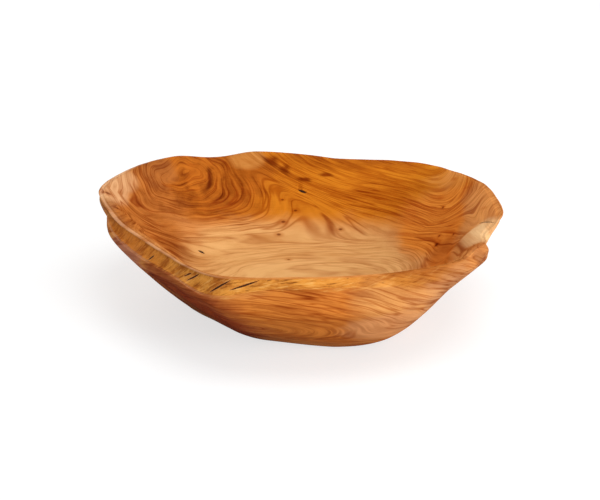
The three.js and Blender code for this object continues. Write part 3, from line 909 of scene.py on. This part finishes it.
def closed_piece(name, points, faces, material):
    """A solid from its faces, with doubled points merged and every face turned outwards."""
    mesh = bpy.data.meshes.new(name)
    mesh.from_pydata(points, [], faces)
    shape = bmesh.new()
    shape.from_mesh(mesh)
    bmesh.ops.remove_doubles(shape, verts=shape.verts, dist=POINT_JOINT * MM)
    bmesh.ops.recalc_face_normals(shape, faces=shape.faces)
    shape.to_mesh(mesh)
    shape.free()
    mesh.materials.append(material)
    piece = bpy.data.objects.new(name, mesh)
    bpy.context.scene.collection.objects.link(piece)
    return piece


GRIT_SIZE = 0.5
GRIT_FADE = (0.3, 0.7)
GRIT_TONES = (paint(34, 18, 8), paint(74, 40, 18))
GRIT_ROUGHNESS_FADE = (0.2, 0.8, 0.42, 0.7)
GRIT_STRENGTH = 0.5
GRIT_HEIGHT = 0.1
FILLER_SHINE = 0.1


def filler():
    material = bpy.data.materials.new("filler")
    material.use_nodes = True
    tree = material.node_tree
    shader = tree.nodes["Principled BSDF"]
    place = scaled(tree, node(tree, "ShaderNodeTexCoord").outputs["Object"], 1 / MM)
    grit = figure(tree, place, GRIT_SIZE, detail=4, roughness=0.7)
    colour = blend(tree, between(tree, grit, *GRIT_FADE), *GRIT_TONES)
    tree.links.new(colour, shader.inputs["Base Color"])
    tree.links.new(between(tree, grit, *GRIT_ROUGHNESS_FADE), shader.inputs["Roughness"])
    relief = {"Strength": GRIT_STRENGTH, "Distance": GRIT_HEIGHT * MM, "Height": grit}
    tree.links.new(node(tree, "ShaderNodeBump", relief).outputs[0], shader.inputs["Normal"])
    shader.inputs["Specular IOR Level"].default_value = FILLER_SHINE
    return material


dark_filler = filler()
bowl_points = [vertex.co for vertex in bowl.data.vertices]
bowl_faces = [face.vertices for face in bowl.data.polygons]
surface = BVHTree.FromPolygons(bowl_points, bowl_faces)


def filler_piece(name, band, width, start, end):
    """The filler in one check: its top follows the wood, and its sides close on the root."""
    middle, along, across, up, length = check_frame(band, start, end)
    points, faces = [], []
    for i in range(FILLER_STEPS + 1):
        run = 2 * i / FILLER_STEPS - 1
        for j in range(FILLER_LANES + 1):
            side = 2 * j / FILLER_LANES - 1
            sideways = (1 - run * run) * side * width / 2 * MM
            point = middle + along * run * length / 2 + across * sideways
            hit = surface.ray_cast(point + up * BLADE_RISE * MM, -up)[0]
            crumble = CRUMBLE_DEPTH * noise.noise(point / (CRUMBLE_SIZE * MM))
            top = (hit if hit else point) - up * (FILL_SHRINKAGE + crumble) * MM
            points.append(top)
    lane = FILLER_LANES + 1
    under = len(points)
    for i in range(FILLER_STEPS + 1):
        run = 2 * i / FILLER_STEPS - 1
        for side in (-1, 1):
            sideways = (1 - run * run) * side * CHECK_ROOT_WIDTH / 2 * MM
            points.append(
                middle + along * run * length * CHECK_ROOT_LENGTH / 2
                + across * sideways - up * CHECK_DEPTH * MM
            )
    for i in range(FILLER_STEPS):
        here, ahead = i * lane, (i + 1) * lane
        for j in range(FILLER_LANES):
            faces.append((here + j, ahead + j, ahead + j + 1, here + j + 1))
        low, low_ahead = under + 2 * i, under + 2 * (i + 1)
        faces.append((here, low, low_ahead, ahead))
        faces.append((here + FILLER_LANES, ahead + FILLER_LANES, low_ahead + 1, low + 1))
        faces.append((low, low + 1, low_ahead + 1, low_ahead))
    for i in (0, FILLER_STEPS):
        low = under + 2 * i
        faces.append([i * lane + j for j in range(lane)] + [low + 1, low])
    piece = closed_piece(name.replace("fill", "filler"), points, faces, dark_filler)
    piece.data.shade_smooth()
    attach(piece, "root")
    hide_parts(name)


for name, band, width, start, end in CHECKS:
    filler_piece(name, band, width, start, end)

cutter_points, cutter_faces = [], []
for _, band, width, start, end in CHECKS:
    points, faces = blade(band, width, start, end, FILL_CLEARANCE)
    cutter_faces += [[len(cutter_points) + i for i in face] for face in faces]
    cutter_points += points
cutter = closed_piece("check_blades", cutter_points, cutter_faces, wood)
grooves = bowl.modifiers.new("grooves", "BOOLEAN")
grooves.operation = "DIFFERENCE"
grooves.solver = "MANIFOLD"
grooves.object = cutter
bowl = plain_mesh(bowl, "root_wood_bowl")
bpy.data.objects.remove(cutter)
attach(bowl, "root")
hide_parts("bowl_body")


# The studio. The bowl stands on a white table before a white backdrop. A large soft lamp hangs
# overhead, a stronger one stands low at the front right and a weak one behind, and white light
# comes from all round.
TABLE_SIZE = 8
TABLE_WHITE = (0.75, 0.75, 0.75, 1)  # as it lights the bowl from below
TABLE_SHADE = (0.38, 0.38, 0.38, 1)  # as the camera sees it, where it takes a faint shadow
TABLE_GLOW = 0.68
WHITE = (1, 1, 1, 1)
FILL_LIGHT = 0.45
BACKDROP = 1.0
LAMP_AIM = Vector((0, 0, 0.04))

half = TABLE_SIZE / 2
table_mesh = bpy.data.meshes.new("table")
table_corners = [(-half, -half, 0), (half, -half, 0), (half, half, 0), (-half, half, 0)]
table_mesh.from_pydata(table_corners, [], [(0, 1, 2, 3)])
table = bpy.data.objects.new("table", table_mesh)
bpy.context.scene.collection.objects.link(table)


def seen_directly(tree):
    """1 for what the camera sees, straight or in a shiny or clear surface, and 0 for other light."""
    path = node(tree, "ShaderNodeLightPath").outputs
    mirrored = maths(tree, "MAXIMUM", path["Is Glossy Ray"], path["Is Transmission Ray"])
    return maths(tree, "MAXIMUM", path["Is Camera Ray"], mirrored)


def white_table():
    material = bpy.data.materials.new("white_table")
    material.use_nodes = True
    tree = material.node_tree
    tree.nodes.clear()
    lit = node(tree, "ShaderNodeBsdfDiffuse", {"Color": TABLE_WHITE})
    shadow_catcher = node(tree, "ShaderNodeBsdfDiffuse", {"Color": TABLE_SHADE})
    glow = node(tree, "ShaderNodeEmission", {"Strength": TABLE_GLOW})
    seen = node(tree, "ShaderNodeAddShader", (shadow_catcher.outputs[0], glow.outputs[0]))
    mixed = node(tree, "ShaderNodeMixShader", (seen_directly(tree), lit.outputs[0], seen.outputs[0]))
    node(tree, "ShaderNodeOutputMaterial", {"Surface": mixed.outputs[0]})
    return material


table_mesh.materials.append(white_table())

world = bpy.data.worlds.new("white_studio")
bpy.context.scene.world = world
world.use_nodes = True
air = world.node_tree
air.nodes.clear()
fill_light = node(air, "ShaderNodeBackground", {"Color": WHITE, "Strength": FILL_LIGHT})
backdrop = node(air, "ShaderNodeBackground", {"Color": WHITE, "Strength": BACKDROP})
both = node(air, "ShaderNodeMixShader", (seen_directly(air), fill_light.outputs[0], backdrop.outputs[0]))
node(air, "ShaderNodeOutputWorld", {"Surface": both.outputs[0]})


def softbox(name, place, size, power):
    """A square lamp that faces the bowl, with its place and size in metres and its power in watts."""
    lamp = bpy.data.lights.new(name, "AREA")
    lamp.size = size
    lamp.energy = power
    holder = bpy.data.objects.new(name, lamp)
    holder.location = place
    holder.rotation_euler = (LAMP_AIM - Vector(place)).to_track_quat("-Z", "Y").to_euler()
    bpy.context.scene.collection.objects.link(holder)


softbox("top_light", (0.25, -0.1, 1.5), 1.2, 11)
softbox("side_light", (1.15, -0.95, 0.42), 0.8, 17)
softbox("back_light", (-0.3, 1.4, 0.62), 0.7, 5)


# The camera. It stands in front of the bowl with a long lens, looks along +Y, and looks down on
# the bowl from 22.5 degrees above the table.
VIEW_HEIGHT = 22.5
VIEW_DISTANCE = 1.5
VIEW_TARGET = Vector((0.95, 20.75, 42)) * MM
LENS_LENGTH = 102.15
SENSOR_WIDTH = 36
camera = bpy.data.objects.new("camera", bpy.data.cameras.new("camera"))
forward = Vector((0, math.cos(math.radians(VIEW_HEIGHT)), -math.sin(math.radians(VIEW_HEIGHT))))
camera.location = VIEW_TARGET - forward * VIEW_DISTANCE
camera.rotation_euler = forward.to_track_quat("-Z", "Y").to_euler()
camera.data.lens = LENS_LENGTH
camera.data.sensor_width = SENSOR_WIDTH
bpy.context.scene.collection.objects.link(camera)
bpy.context.scene.camera = camera
bpy.context.scene.view_settings.view_transform = "Standard"
